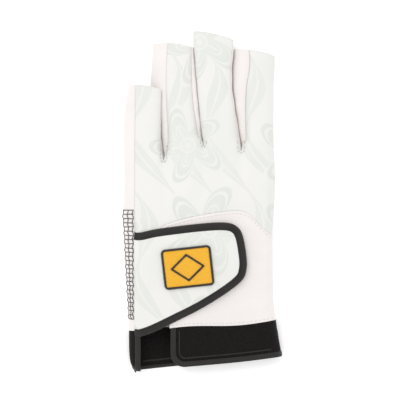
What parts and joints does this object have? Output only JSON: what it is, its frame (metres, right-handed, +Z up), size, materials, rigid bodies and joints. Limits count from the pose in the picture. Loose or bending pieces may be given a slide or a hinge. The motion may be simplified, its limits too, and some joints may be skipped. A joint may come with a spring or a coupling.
{
  "type": "fingerless golf glove",
  "caption": "Half-finger sports glove with open finger ends, a printed back, an elastic cuff and a bound wrist tab",
  "frame": {"origin": "centre of the underside, on the surface that the glove lies on", "axes": "+X to the index finger's side, +Y to the finger tips, +Z up through the back of the hand"},
  "size_m": [0.0922, 0.198, 0.0216],
  "materials": {
    "print": "matt synthetic leather, pale tone-on-tone print",
    "leather": "soft white leather, fine grain",
    "binding": "black stretch binding tape",
    "cuff": "black towelling and elastic, matt",
    "patch": "orange-yellow satin embroidery",
    "patch_border": "black satin-stitch edge"
  },
  "bodies": {
    "root": {"back_panel": "print", "palm_panel": "leather", "fourchette_pinky_ring": "leather", "fourchette_ring_middle": "leather", "fourchette_middle_index": "leather", "thumb": "leather", "landing_panel": "leather", "closure_tab": "print", "tab_binding": "binding", "patch_field": "patch", "patch_border": "patch_border", "closure_pad": "cuff", "cuff_band": "cuff", "cuff_binding": "binding"}
  },
  "joints": []
}
